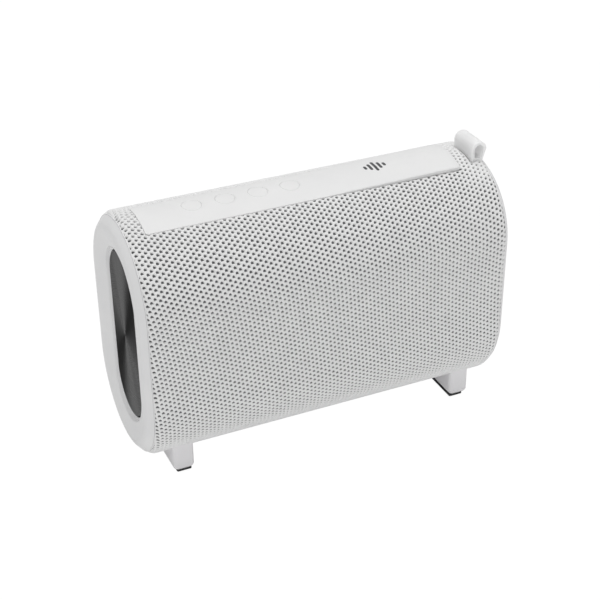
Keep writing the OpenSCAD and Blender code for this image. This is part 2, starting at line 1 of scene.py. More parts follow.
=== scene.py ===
"""Looks for the portable loudspeaker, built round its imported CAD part.

A piece is shaped in millimetres, in the CAD frame: +X right, -Y front, +Z up, origin on the floor.
Round the body, s is the distance from the top line, positive towards the front, and h is the
height above the surface.
"""

import json
import math

import bmesh
import bpy
import numpy as np
from mathutils import Matrix, Vector


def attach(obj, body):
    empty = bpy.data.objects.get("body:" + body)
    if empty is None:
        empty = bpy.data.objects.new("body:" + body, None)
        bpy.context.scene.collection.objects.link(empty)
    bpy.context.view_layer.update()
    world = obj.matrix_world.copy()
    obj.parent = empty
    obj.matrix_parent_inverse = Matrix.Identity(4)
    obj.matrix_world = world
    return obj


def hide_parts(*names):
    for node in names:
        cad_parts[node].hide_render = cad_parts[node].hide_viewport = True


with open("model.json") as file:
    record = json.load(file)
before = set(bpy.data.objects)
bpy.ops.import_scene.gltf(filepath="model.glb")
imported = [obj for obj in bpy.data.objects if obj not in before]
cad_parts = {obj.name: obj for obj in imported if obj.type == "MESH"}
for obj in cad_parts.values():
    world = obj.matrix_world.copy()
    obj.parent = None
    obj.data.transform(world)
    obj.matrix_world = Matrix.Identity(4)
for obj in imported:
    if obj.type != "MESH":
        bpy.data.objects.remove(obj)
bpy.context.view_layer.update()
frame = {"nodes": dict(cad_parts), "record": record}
nodes = frame["nodes"]

MM = 0.001

# ---- Sizes shared with the CAD part, in millimetres ----
R_BODY = 40.5
HALF_FLAT = 24.0
MID_Z = 68.5
TOP_Z = MID_Z + HALF_FLAT
LOW_Z = MID_Z - HALF_FLAT
END_X = 100.0
SEAM_X = 96.0
RIM_L = 7.1
RIM_W = 7.3
RIM_POWER = 1.32
DISH_SLOPE = 0.267
LIP_IN = 19.6
PLATE_IN = 22.3
OPENING_STRETCH = 3.1
PLATE_X = 96.0
PLATE_T = 1.2
STRIP_X = (-86.6, 80.1)
STRIP_S = (-8.8, 16.6)
KEY_X = (-59.0, -42.0, -25.0, -8.0)
KEY_S = 2.47
KEY_R = 4.95
KEY_HOLE_R = 5.25
LOOP_X = 92.7
LOOP_Z = 136.4
LOOP_Y = (-13.0, 5.0)
LOOP_R = 4.4
LOOP_T = 1.9
FOOT_X = 79.2
FOOT_W = 11.0
FOOT_L = 57.2
FOOT_EDGE_R = 2.0
PAD_T = 1.1
PANEL_W = 56.0
PANEL_H = 20.0
PANEL_Z = 60.0

# Distances from the top line to where the flat front starts, and to the bottom line
TURN = R_BODY * math.pi / 2
BOTTOM_S = 2 * TURN + 2 * HALF_FLAT


# ---- The shape of the body ----

def ramp(value, start, end):
    """0 at the start, 1 at the end and even between them. The end may be the lower value."""
    return np.clip((value - start) / (end - start), 0, 1)


def rim_sink(x):
    """How far the surface has dropped on the rounded rim at each x."""
    past = np.clip((np.abs(x) - (END_X - RIM_L)) / RIM_L, 0, 1)
    return RIM_W * (1 - (1 - past**RIM_POWER) ** (1 / RIM_POWER))


def on_pill(x, s, h=0.0):
    """Points on the body or at a height above it, as rows of X, Y, Z."""
    x, s, h = np.broadcast_arrays(np.asarray(x, float), s, h)
    r = R_BODY - rim_sink(x) + h
    a = np.abs(s)
    down = np.clip(a - TURN, 0, 2 * HALF_FLAT)
    angle = (np.minimum(a, TURN) + np.clip(a - TURN - 2 * HALF_FLAT, 0, None)) / R_BODY
    y = -np.sign(s) * r * np.sin(angle)
    return np.stack([x, y, TOP_Z - down + r * np.cos(angle)], -1)


def pill_loop(steps=48):
    """The way round the pill section: rows of outward Y, outward Z and centre height."""
    half_turn = np.linspace(-math.pi / 2, math.pi / 2, steps)
    upper = np.stack([np.sin(half_turn), np.cos(half_turn), np.full(steps, TOP_Z)], -1)
    lower = np.stack([-np.sin(half_turn), -np.cos(half_turn), np.full(steps, LOW_Z)], -1)
    side = np.linspace(TOP_Z, LOW_Z, 10)[1:-1]
    right = np.stack([np.ones(len(side)), np.zeros(len(side)), side], -1)
    left = np.stack([-np.ones(len(side)), np.zeros(len(side)), side[::-1]], -1)
    return np.concatenate([upper, right, lower, left])


# ---- Making pieces ----

def finish_piece(obj, body, material):
    """Puts a piece in the scene, on its body and material."""
    bpy.context.scene.collection.objects.link(obj)
    obj.data.materials.append(material)
    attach(obj, body)
    return obj


def mesh_piece(name, verts, faces, body, material, sharp_deg=35, closed=True):
    """A smooth-shaded mesh piece from points in millimetres."""
    mesh = bpy.data.meshes.new(name)
    mesh.from_pydata((np.asarray(verts, float) * MM).tolist(), [], [tuple(f) for f in faces])
    if closed:
        bm = bmesh.new()
        bm.from_mesh(mesh)
        bmesh.ops.recalc_face_normals(bm, faces=bm.faces)
        bm.to_mesh(mesh)
        bm.free()
    mesh.polygons.foreach_set("use_smooth", [True] * len(mesh.polygons))
    mesh.set_sharp_from_angle(angle=math.radians(sharp_deg))
    return finish_piece(bpy.data.objects.new(name, mesh), body, material)


def laid_mesh(name, bm, height):
    """Lays a flat shape of (x, s, h) on the body at a function's heights. Also gives its x and s."""
    mesh = bpy.data.meshes.new(name)
    bm.to_mesh(mesh)
    bm.free()
    flat = np.empty(len(mesh.vertices) * 3, np.float32)
    mesh.vertices.foreach_get("co", flat)
    x, s, h = flat.reshape(-1, 3).astype(float).T
    placed = on_pill(x, s, height(x, s, h)) * MM
    mesh.vertices.foreach_set("co", placed.astype(np.float32).ravel())
    mesh.polygons.foreach_set("use_smooth", [True] * len(mesh.polygons))
    return mesh, x, s


def flat_bmesh(points, faces):
    mesh = bpy.data.meshes.new("flat")
    mesh.from_pydata(points.tolist(), [], faces)
    bm = bmesh.new()
    bm.from_mesh(mesh)
    bpy.data.meshes.remove(mesh)
    return bm


def grid_faces(rows, cols, wrap_rows=False, wrap_cols=False):
    """Quads of a grid of points numbered row by row."""
    faces = []
    for i in range(rows if wrap_rows else rows - 1):
        for j in range(cols if wrap_cols else cols - 1):
            k, m = (i + 1) % rows, (j + 1) % cols
            faces.append((i * cols + j, i * cols + m, k * cols + m, k * cols + j))
    return faces


def rounded(points, radii, steps=4, closed=True):
    """A line of points with an arc in place of each corner that has a radius."""
    out = []
    n = len(points)
    for i, r in enumerate(radii):
        p = np.array(points[i], float)
        if r == 0 or (not closed and i in (0, n - 1)):
            out.append(p)
            continue
        a = np.array(points[i - 1], float) - p
        b = np.array(points[(i + 1) % n], float) - p
        a, b = a / np.linalg.norm(a), b / np.linalg.norm(b)
        half = math.acos(np.clip(np.dot(a, b), -1, 1)) / 2
        centre = p + (a + b) / np.linalg.norm(a + b) * r / math.sin(half)
        start = p + a * r / math.tan(half) - centre
        end = p + b * r / math.tan(half) - centre
        turn = math.pi - 2 * half
        for t in np.linspace(0, 1, steps + 1):
            w0 = math.sin((1 - t) * turn) / math.sin(turn)
            w1 = math.sin(t * turn) / math.sin(turn)
            out.append(centre + w0 * start + w1 * end)
    return np.array(out)


def swept_ring(name, profile, body, material, sharp_deg=30):
    """A closed ring round the pill from a closed profile of (x, depth in, stretch, lift).

    The stretch moves a point up at the top and down at the bottom, and the lift moves it along X
    there, so that an opening can be taller than an even inset.
    """
    loop = pill_loop(64)
    r = R_BODY - profile[:, 1]
    x = profile[:, 0] + profile[:, 3] * np.abs(loop[:, 1:2])
    y = loop[:, :1] * r
    centre = (loop[:, 2:] - MID_Z) * (1 + profile[:, 2] / HALF_FLAT)
    z = MID_Z + centre + loop[:, 1:2] * r
    verts = np.stack([x, y, z], -1).reshape(-1, 3)
    faces = grid_faces(len(loop), len(profile), True, True)
    return mesh_piece(name, verts, faces, body, material, sharp_deg)


# ---- Materials ----

def new_material(name):
    """A new material with its node tree and its shader."""
    mat = bpy.data.materials.new(name)
    mat.use_nodes = True
    tree = mat.node_tree
    return mat, tree, tree.nodes["Principled BSDF"]


def add_node(tree, kind, inputs=None, **settings):
    """A node with its settings, and with values or links for its inputs."""
    node = tree.nodes.new(kind)
    for key, value in settings.items():
        setattr(node, key, value)
    for key, value in (inputs or {}).items():
        if isinstance(value, bpy.types.NodeSocket):
            tree.links.new(value, node.inputs[key])
        else:
            node.inputs[key].default_value = value
    return node


def noise(tree, place, scale, detail=3.0, rough=0.55):
    """Noise at a scale given as the size of its grain in millimetres."""
    return add_node(
        tree,
        "ShaderNodeTexNoise",
        {"Vector": place, "Scale": 1000.0 / scale, "Detail": detail, "Roughness": rough},
    ).outputs["Fac"]


def spread(tree, value, low, high, start=0.3, end=0.7):
    """Stretches a value's middle range to low...high."""
    node = add_node(
        tree,
        "ShaderNodeMapRange",
        {"Value": value, "From Min": start, "From Max": end, "To Min": low, "To Max": high},
    )
    return node.outputs["Result"]


def two_tone(tree, fac, dark, light):
    """A colour between two tones."""
    mix = add_node(tree, "ShaderNodeMix", {"Factor": fac}, data_type="RGBA")
    mix.inputs[6].default_value = (*dark, 1)
    mix.inputs[7].default_value = (*light, 1)
    return mix.outputs[2]


def bump(tree, height, distance, strength=1.0, under=None):
    """A bump whose height is given in millimetres."""
    inputs = {"Height": height, "Distance": distance * MM, "Strength": strength}
    if under is not None:
        inputs["Normal"] = under
    return add_node(tree, "ShaderNodeBump", inputs).outputs["Normal"]


def object_place(tree):
    return tree.nodes.new("ShaderNodeTexCoord").outputs["Object"]


METAL = {"Metallic": 1.0}
PAINTED = {"Metallic": 0.6}
THIN_COAT = {"Coat Weight": 0.3}
SLEEVE_COAT = {"Coat Weight": 0.4}
FROSTED = {"Transmission Weight": 0.5}
SOFT_THROUGH = {"Subsurface Weight": 1.0, "Subsurface Scale": 0.008, "Subsurface Radius": (1.0, 1.0, 1.0)}

# Each finish: dark tone, light tone, roughness, the size of its clouds, the size and height of its
# grain in millimetres, and the shader's other sockets
FINISHES = {
    "white_plastic": ((0.745, 0.745, 0.75), (0.775, 0.775, 0.775), (0.42, 0.52), 25, 0.35, 0.006, {}),
    "silicone": ((0.765, 0.765, 0.765), (0.79, 0.79, 0.788), (0.5, 0.6), 18, 0.25, 0.006, {}),
    "loop_silicone": ((0.85, 0.85, 0.85), (0.87, 0.87, 0.868), (0.5, 0.6), 18, 0.25, 0.006, SOFT_THROUGH),
    "foot_plastic": ((0.795, 0.787, 0.8), (0.815, 0.807, 0.82), (0.45, 0.55), 20, 0.35, 0.006, {}),
    "black_rubber": ((0.018, 0.018, 0.02), (0.03, 0.03, 0.03), (0.6, 0.8), 8, 0.4, 0.03, {}),
    "black_plastic": ((0.03, 0.03, 0.032), (0.045, 0.045, 0.047), (0.4, 0.55), 15, 0.4, 0.01, {}),
    "perforated_steel": ((0.16, 0.16, 0.165), (0.2, 0.2, 0.205), (0.4, 0.55), 10, 0.2, 0.01, METAL),
    "steel": ((0.5, 0.5, 0.51), (0.6, 0.6, 0.6), (0.25, 0.4), 3, 0.15, 0.004, METAL),
    "basket_metal": ((0.05, 0.05, 0.055), (0.07, 0.07, 0.075), (0.35, 0.5), 8, 0.3, 0.02, PAINTED),
    "ferrite": ((0.035, 0.035, 0.037), (0.06, 0.06, 0.06), (0.55, 0.8), 4, 0.3, 0.03, {}),
    "paper_cone": ((0.03, 0.029, 0.028), (0.055, 0.053, 0.05), (0.75, 0.95), 3, 0.5, 0.06, {}),
    "copper_wire": ((0.45, 0.18, 0.08), (0.6, 0.26, 0.12), (0.2, 0.35), 2, 0.12, 0.02, METAL),
    "spider_cloth": ((0.42, 0.3, 0.1), (0.55, 0.41, 0.16), (0.8, 0.95), 2, 0.4, 0.08, {}),
    "circuit_board": ((0.01, 0.07, 0.03), (0.02, 0.11, 0.05), (0.3, 0.45), 5, 0.8, 0.01, THIN_COAT),
    "chip": ((0.02, 0.02, 0.022), (0.035, 0.035, 0.037), (0.4, 0.6), 6, 0.2, 0.008, {}),
    "battery_wrap": ((0.03, 0.12, 0.3), (0.05, 0.17, 0.38), (0.25, 0.35), 14, 1.2, 0.01, SLEEVE_COAT),
    "light_pipe": ((0.8, 0.8, 0.78), (0.9, 0.9, 0.88), (0.2, 0.3), 2, 0.2, 0.004, FROSTED),
    "ribbon_cable": ((0.32, 0.02, 0.02), (0.45, 0.04, 0.03), (0.35, 0.5), 4, 0.4, 0.02, {}),
    "print_ink": ((0.05, 0.052, 0.055), (0.075, 0.077, 0.08), (0.3, 0.45), 3, 0.2, 0.004, {}),
}


def finish(name, dark, light, rough, cloud, grain, grain_h, sockets):
    """A moulded, cast or printed finish: soft clouds of tone, uneven gloss and a fine grain."""
    mat, tree, shader = new_material(name)
    place = object_place(tree)
    clouds = noise(tree, place, cloud)
    fine = noise(tree, place, grain, 2.0)
    tree.links.new(two_tone(tree, spread(tree, clouds, 0, 1), dark, light), shader.inputs["Base Color"])
    tree.links.new(spread(tree, fine, rough[0], rough[1]), shader.inputs["Roughness"])
    tree.links.new(bump(tree, fine, grain_h), shader.inputs["Normal"])
    for key, value in sockets.items():
        shader.inputs[key].default_value = value
    return mat


def spun_metal():
    """Dark anodised metal turned on a lathe: fine rings round the middle of the plate."""
    mat, tree, shader = new_material("spun_metal")
    place = object_place(tree)
    parts = add_node(tree, "ShaderNodeSeparateXYZ", {"Vector": place})
    height = add_node(tree, "ShaderNodeMath", {0: parts.outputs["Z"], 1: MID_Z * MM}, operation="SUBTRACT")
    flat = add_node(tree, "ShaderNodeCombineXYZ", {"X": parts.outputs["Y"], "Y": height.outputs[0]})
    radius = add_node(tree, "ShaderNodeVectorMath", {0: flat.outputs[0]}, operation="LENGTH")
    ring = add_node(tree, "ShaderNodeCombineXYZ", {"X": radius.outputs["Value"]})
    grooves = noise(tree, ring.outputs[0], 0.35, 4.0, 0.7)
    bands = noise(tree, ring.outputs[0], 4.0, 2.0)
    tone = two_tone(tree, spread(tree, grooves, 0, 1), (0.155, 0.155, 0.155), (0.215, 0.215, 0.215))
    tree.links.new(tone, shader.inputs["Base Color"])
    tree.links.new(spread(tree, bands, 0.42, 0.48), shader.inputs["Roughness"])
    tree.links.new(bump(tree, grooves, 0.004), shader.inputs["Normal"])
    shader.inputs["Metallic"].default_value = 1.0
    shader.inputs["Anisotropic"].default_value = 0.95
    shader.inputs["Specular Tint"].default_value = (0.15, 0.15, 0.15, 1)
    around = add_node(tree, "ShaderNodeTangent", direction_type="RADIAL", axis="X")
    tree.links.new(around.outputs["Tangent"], shader.inputs["Tangent"])
    return mat


def knit_yarn():
    """White polyester knit: twisted yarn that runs round each hole, with a soft bloom of fibres."""
    mat, tree, shader = new_material("knit_yarn")
    uv = add_node(tree, "ShaderNodeUVMap", uv_map="Cloth").outputs["UV"]
    place = object_place(tree)
    strands = add_node(
        tree,
        "ShaderNodeTexWave",
        {"Vector": uv, "Scale": 1.15, "Distortion": 2.4, "Detail": 2.0, "Detail Scale": 1.4},
        wave_type="BANDS",
        bands_direction="DIAGONAL",
    ).outputs["Fac"]
    fibres = noise(tree, place, 0.25, 4.0, 0.7)
    clouds = noise(tree, place, 9.0)
    tone = two_tone(tree, spread(tree, clouds, 0, 1), (0.80, 0.80, 0.80), (0.835, 0.835, 0.832))
    tree.links.new(tone, shader.inputs["Base Color"])
    under = bump(tree, strands, 0.05, 0.6)
    tree.links.new(bump(tree, fibres, 0.03, 0.6, under), shader.inputs["Normal"])
    shader.inputs["Roughness"].default_value = 0.85
    shader.inputs["Specular IOR Level"].default_value = 0.25
    shader.inputs["Sheen Weight"].default_value = 0.15
    shader.inputs["Sheen Roughness"].default_value = 0.5
    return mat


def scrim_cloth():
    """The dark acoustic cloth seen through the holes of the knit."""
    mat, tree, shader = new_material("scrim_cloth")
    uv = add_node(tree, "ShaderNodeUVMap", uv_map="Cloth").outputs["UV"]
    threads = []
    for way in ("X", "Y"):
        wave = add_node(tree, "ShaderNodeTexWave", {"Vector": uv, "Scale": 0.6}, bands_direction=way)
        threads.append(wave.outputs["Fac"])
    weave = add_node(tree, "ShaderNodeMath", {0: threads[0], 1: threads[1]}, operation="MAXIMUM")
    tone = two_tone(tree, weave.outputs[0], (0.12, 0.122, 0.127), (0.185, 0.187, 0.194))
    tree.links.new(tone, shader.inputs["Base Color"])
    tree.links.new(bump(tree, weave.outputs[0], 0.05), shader.inputs["Normal"])
    shader.inputs["Roughness"].default_value = 0.95
    shader.inputs["Specular IOR Level"].default_value = 0.1
    return mat


def make_materials():
    made = {name: finish(name, *look) for name, look in FINISHES.items()}
    made["spun_metal"] = spun_metal()
    made["knit_fabric"] = knit_yarn()
    made["scrim_cloth"] = scrim_cloth()
    return made


# ---- Knitted wrap ----

# The knit's own lattice: columns of holes, each column half a hole down from the next
COLUMN = 2.085
ROW = 2.62
# The knit was pulled on askew: its rows climb to the right and its columns lean and fan out
ROW_CLIMB = 0.056
COLUMN_LEAN = 0.0875
FAN = 1.3e-5
FAN_START = 110.0
# Columns that the wrap needs, rows from the top line to where the side panels start and end
COLUMNS = (-56, 68)
TOP_ROWS = 22
SIDE_ROWS = 72
# How far a corner, a hole and the height of a corner stray, in millimetres
CORNER_STRAY = 0.09
HOLE_STRAY = 0.1
HEIGHT_STRAY = 0.07

CLOTH_X = 95.9
# Width and depth of the tuck along the edges of the cloth
EDGE_TUCK = 0.9
EDGE_SINK = 0.3
WINDOW_GAP = 0.1
WINDOW_REACH = 4.0
LOOP_WINDOW_S = (-5.15, 13.4)
PANEL_S = -(TURN + TOP_Z - PANEL_Z)
WELD = 1e-4


def window_round(x0, x1, s0, s1):
    """The window that the cloth needs round a rectangle of x and s, each from and to."""
    return (x0 - WINDOW_GAP, x1 + WINDOW_GAP, s0 - WINDOW_GAP, s1 + WINDOW_GAP)


WINDOWS = {
    "strip": window_round(*STRIP_X, *STRIP_S),
    "loop": (LOOP_X - LOOP_R - WINDOW_GAP, END_X, *LOOP_WINDOW_S),
    "panel": window_round(-PANEL_W / 2, PANEL_W / 2, PANEL_S - PANEL_H / 2, PANEL_S + PANEL_H / 2),
}

# Rings round a hole, from its lip down: a height, and six points across and along the column.
# The yarn below each hole bends up into it as a short tongue.
HOLE_RINGS = (
    (-0.10, ((0.88, 0.60), (0, 1.04), (-0.88, 0.60), (-0.86, -0.50), (0, -1.10), (0.86, -0.50))),
    (-0.38, ((0.74, 0.50), (0, 0.74), (-0.74, 0.50), (-0.68, -0.42), (0, -0.96), (0.68, -0.42))),
    (-1.0, ((0.68, 0.44), (0, 0.36), (-0.68, 0.44), (-0.60, -0.42), (0, -0.90), (0.60, -0.42))),
)


def knit_place(u, v):
    """Where a place in the knit's own lattice comes to on the body, as x and s."""
    x, s = u, v
    for _ in range(5):
        short = np.clip(FAN_START - np.abs(s), 0, None)
        x = u * np.exp(FAN * short**2) + COLUMN_LEAN * (s - FAN_START)
        s = v - ROW_CLIMB * x
    return x, s


def wobble(a, b, k):
    """A fixed scatter from -0.5 to 0.5 for each pair of whole numbers."""
    return np.sin(a * 12.9898 + b * 78.233 + k * 37.719) * 43758.5453 % 1 - 0.5


def thinner_below(s):
    """The share of the knit's thickness left: it is drawn thinner down the sides and underneath."""
    down = np.abs(s)
    return 1 - 0.35 * ramp(down, 50, 100) - 0.22 * ramp(down, 105, 130)


def tucked(x, s, h):
    """The cloth dips where it goes under the strip, the panel, the loop and the end caps.

    Along the strip it stays nearly level at the left and sinks deeper at the right.
    """
    near = np.clip(CLOTH_X - np.abs(x), 0, None)
    for x0, x1, s0, s1 in WINDOWS.values():
        out_x = np.maximum(np.maximum(x0 - x, x - x1), 0)
        out_s = np.maximum(np.maximum(s0 - s, s - s1), 0)
        near = np.minimum(near, np.hypot(out_x, out_s))
    dip = np.clip(1 - near / EDGE_TUCK, 0, 1) ** 2
    along_strip = (s > STRIP_S[0] - 2) & (s < STRIP_S[1] + 2) & (np.abs(x) < 90)
    dip = dip * (1 - 0.75 * ramp(x, 20, -20) * along_strip)
    deeper = 0.5 * ramp(x, 20, 60) * along_strip
    return h * thinner_below(s) * (1 - 0.35 * dip) - (EDGE_SINK + deeper) * dip


def hole_numbers(rows):
    """Column and row number of each hole between two rows, and 1 in the odd columns."""
    i, j = (a.ravel() for a in np.meshgrid(np.arange(*COLUMNS), np.arange(*rows), indexing="ij"))
    odd = i % 2
    x, s = knit_place(i * COLUMN, (j + odd / 2) * ROW)
    keep = (np.abs(x) < CLOTH_X + 2) & (np.abs(s) < BOTTOM_S + 2)
    return i[keep], j[keep], odd[keep]


def cell_corners(i, j, odd):
    """Points at the corners of the cells round the holes, and the six corners of each cell.

    Three cells share a corner, so it is numbered by its place in thirds and halves of a cell.
    """
    across = np.array([2, 1, -1, -2, -1, 1])
    along = np.array([0, 1, 1, 0, -1, -1])
    keys = np.stack([3 * i[:, None] + across, (2 * j + odd)[:, None] + along], -1)
    corners, which = np.unique(keys.reshape(-1, 2), axis=0, return_inverse=True)
    a, b = corners.T
    u = a * COLUMN / 3 + CORNER_STRAY * wobble(a, b, 1)
    v = b * ROW / 2 + CORNER_STRAY * wobble(a, b, 2)
    x, s = knit_place(u, v)
    return np.stack([x, s, HEIGHT_STRAY * wobble(a, b, 3)], -1), which.reshape(-1, 6)


def hole_rings(i, j, odd):
    """Points of the rings down each hole, one ring of all holes after the other."""
    size = 1 + HOLE_STRAY * wobble(i, j, 4)
    # On top, the knit is drawn tight past the strip's ends and its holes close up
    past_strip = ramp(np.abs(i * COLUMN), 76, 88)
    on_top = ramp(np.abs((j + odd / 2) * ROW), 38, 26)
    size *= 1 - 0.3 * past_strip * on_top
    mid_u = i * COLUMN + HOLE_STRAY * wobble(i, j, 5)
    mid_v = (j + odd / 2) * ROW + HOLE_STRAY * wobble(i, j, 6)
    points = []
    for h, ring in HOLE_RINGS:
        u = mid_u[:, None] + size[:, None] * [p[0] for p in ring]
        v = mid_v[:, None] + size[:, None] * [p[1] for p in ring]
        x, s = knit_place(u.ravel(), v.ravel())
        points.append(np.stack([x, s, np.full(len(x), h)], -1))
    return points


def knit_cells(rows):
    """The knit between two rows, flat: points (x, s, h) and faces."""
    i, j, odd = hole_numbers(rows)
    corners, which = cell_corners(i, j, odd)
    rings = [which]
    start = len(corners)
    for _ in HOLE_RINGS:
        rings.append(start + np.arange(len(i) * 6).reshape(-1, 6))
        start += len(i) * 6
    lip, ahead, corner = rings[1], np.roll(rings[1], -1, 1), np.roll(rings[0], -1, 1)
    faces = np.stack([rings[0], lip, corner], -1).reshape(-1, 3).tolist()
    faces += np.stack([lip, ahead, corner], -1).reshape(-1, 3).tolist()
    for outer, inner in zip(rings[1:], rings[2:]):
        quads = np.stack([outer, inner, np.roll(inner, -1, 1), np.roll(outer, -1, 1)], -1)
        faces += quads.reshape(-1, 4).tolist()
    return np.concatenate([corners] + hole_rings(i, j, odd)), faces


def cut_window(bm, window):
    """Cuts a window out of flat cloth, along its own four sides only."""
    x0, x1, s0, s1 = window
    for axis, at in ((0, x0), (0, x1), (1, s0), (1, s1)):
        lo, hi = ((s0, s1), (x0, x1))[axis]
        near = []
        for f in bm.faces:
            co = f.verts[0].co
            beside = lo - WINDOW_REACH < co[1 - axis] < hi + WINDOW_REACH
            if beside and abs(co[axis] - at) < WINDOW_REACH:
                near.append(f)
        edges = {e for f in near for e in f.edges}
        verts = {v for f in near for v in f.verts}
        normal = (1, 0, 0) if axis == 0 else (0, 1, 0)
        place = (at, 0, 0) if axis == 0 else (0, at, 0)
        geom = near + list(edges) + list(verts)
        bmesh.ops.bisect_plane(bm, geom=geom, dist=WELD, plane_co=place, plane_no=normal)
    inside = []
    for f in bm.faces:
        co = f.calc_center_median()
        if x0 < co.x < x1 and s0 < co.y < s1:
            inside.append(f)
    bmesh.ops.delete(bm, geom=inside, context="FACES")


def trim_cloth(bm, edge_s):
    """Trims flat cloth at both ends, and outside each given line of s."""
    planes = [((CLOTH_X, 0, 0), (1, 0, 0)), ((-CLOTH_X, 0, 0), (-1, 0, 0))]
    planes += [((0, s, 0), (0, math.copysign(1, s), 0)) for s in edge_s]
    for place, normal in planes:
        geom = bm.verts[:] + bm.edges[:] + bm.faces[:]
        bmesh.ops.bisect_plane(
            bm, geom=geom, dist=WELD, plane_co=place, plane_no=normal, clear_outer=True
        )


def cloth_piece(name, bm, height, body, material):
    """Turns flat cloth, laid out as (x, s, h), into a piece on the body with a UV map of x and s."""
    bmesh.ops.reverse_faces(bm, faces=bm.faces)
    mesh, x, s = laid_mesh(name, bm, height)
    corner = np.empty(len(mesh.loops), np.int32)
    mesh.loops.foreach_get("vertex_index", corner)
    uv = mesh.uv_layers.new(name="Cloth")
    uv.data.foreach_set("uv", np.stack([x[corner], s[corner]], -1).astype(np.float32).ravel())
    mesh.update()
    return finish_piece(bpy.data.objects.new(name, mesh), body, material)


def build_knit(mats):
    """The wrap in three panels, joined along the knit's own rows, and sewn together underneath."""
    panels = {
        "knit_front": ((TOP_ROWS, SIDE_ROWS), (BOTTOM_S,), ()),
        "knit_top": ((-TOP_ROWS, TOP_ROWS), (), ("strip", "loop")),
        "knit_back": ((-SIDE_ROWS, -TOP_ROWS), (-BOTTOM_S,), ("panel",)),
    }
    for name, (rows, edge_s, windows) in panels.items():
        bm = flat_bmesh(*knit_cells(rows))
        trim_cloth(bm, edge_s)
        for window in windows:
            cut_window(bm, WINDOWS[window])
        cloth_piece(name, bm, tucked, "cabinet", mats["knit_fabric"])
    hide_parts("fabric_wrap")


def build_scrim(mats):
    """The dark cloth under the knit, one sheet all the way round with the same windows.

    It follows the knit at a depth near the foot of the holes, with some space to spare.
    """
    follows = -0.9
    spare = 0.26
    step = 3.0
    xs = np.linspace(-CLOTH_X, CLOTH_X, 65)
    ss = np.linspace(-BOTTOM_S, BOTTOM_S, 2 * int(BOTTOM_S / step) + 1)
    x, s = (a.ravel() for a in np.meshgrid(xs, ss, indexing="ij"))
    points = np.stack([x, s, np.zeros(len(x))], -1)
    faces = [f[::-1] for f in grid_faces(len(xs), len(ss))]
    bm = flat_bmesh(points, faces)
    for window in WINDOWS.values():
        cut_window(bm, window)

    def height(x, s, h):
        return tucked(x, s, np.full(len(x), follows)) - spare

    scrim = cloth_piece("acoustic_scrim", bm, height, "cabinet", mats["scrim_cloth"])


STITCH_T = 0.28
STITCH_STEPS = 7
STITCH_SIDES = 8


def stitch_points(start, end):
    """Rings of points along one stitch of thread, between two flat places by the bottom line."""
    ahead = (end - start) / np.linalg.norm(end - start)
    across = np.array([-ahead[1], ahead[0]])
    points = []
    for t in np.linspace(0, 1, STITCH_STEPS):
        mid = start + (end - start) * t
        lift = 0.16 * math.sin(math.pi * t) ** 0.5 - 0.12
        size = STITCH_T * (0.55 + 0.45 * math.sin(math.pi * t) ** 0.4)
        for a in np.linspace(0, 2 * math.pi, STITCH_SIDES, endpoint=False):
            x, off = mid + across * size * math.cos(a)
            s = BOTTOM_S - abs(off) if off < 0 else -(BOTTOM_S - abs(off))
            points.append(on_pill(x, s, lift + size * math.sin(a)))
    return points


def build_seam(mats):
    """Zigzag stitches that close the wrap along the bottom line."""
    pitch = 3.2
    half = 1.5
    first_x = -CLOTH_X + 2
    tube = grid_faces(STITCH_STEPS, STITCH_SIDES, False, True)
    last_ring = (STITCH_STEPS - 1) * STITCH_SIDES
    verts, faces = [], []
    for k in range(int(2 * (CLOTH_X - 2) / pitch)):
        for lean in (0, 1):
            x0 = first_x + k * pitch
            start = np.array([x0 + lean * pitch / 2, half * (1 - 2 * lean)])
            end = np.array([x0 + (lean + 1) * pitch / 2, -half * (1 - 2 * lean)])
            base = len(verts)
            verts += stitch_points(start, end)
            faces += [tuple(base + i for i in f) for f in tube]
            faces.append(tuple(base + i for i in range(STITCH_SIDES)))
            faces.append(tuple(base + last_ring + i for i in reversed(range(STITCH_SIDES))))
    mesh_piece("seam_stitches", verts, faces, "cabinet", mats["silicone"], 60)


# ---- End caps and radiator plates ----

# Depths between which the crest of an end cap is rounded over
CREST = (5.4, 9.6)
CAP_WALL = 2.2
LIP_T = 1.2
# A cap's edge against the wrap: its overlap, the depth of the overlap's foot and top, and the gap
ROOT_X = SEAM_X - 0.4
ROOT_IN = (1.7, 4.9)
SEAM_GAP = 0.02


def rim_points(steps=14):
    """The rounded rim from the seam to the crest, as (x, depth in)."""
    x = SEAM_X + (END_X - SEAM_X) * np.sin(np.linspace(0, math.pi / 2, steps))
    return np.stack([x, rim_sink(x)], -1)


def dish_at(depth):
    """Where the sloping dish of an end cap lies at a depth in from the side."""
    return (END_X - DISH_SLOPE * (depth - RIM_W), depth)


def cap_inside():
    """The rest of a cap's section, from the opening's lip round to the seam: (x, depth, radius)."""
    dish_x = dish_at(LIP_IN)[0]
    return [
        (dish_x, LIP_IN, 0.35),
        (dish_x - 0.7, LIP_IN + 0.6, 0.15),
        (dish_x - LIP_T, LIP_IN + 0.8, 0.15),
        (dish_x - LIP_T, PLATE_IN - 0.7, 0.2),
        (dish_x - 2 * LIP_T, PLATE_IN - 0.7, 0.2),
        (dish_x - CAP_WALL, LIP_IN, 0),
        (END_X - CAP_WALL, RIM_W + 0.6, 0),
        (END_X - CAP_WALL - 0.6, RIM_W - 0.1, 0),
        (ROOT_X, ROOT_IN[1], 0),
        (ROOT_X, ROOT_IN[0], 0),
        (SEAM_X + SEAM_GAP, ROOT_IN[0], 0),
    ]


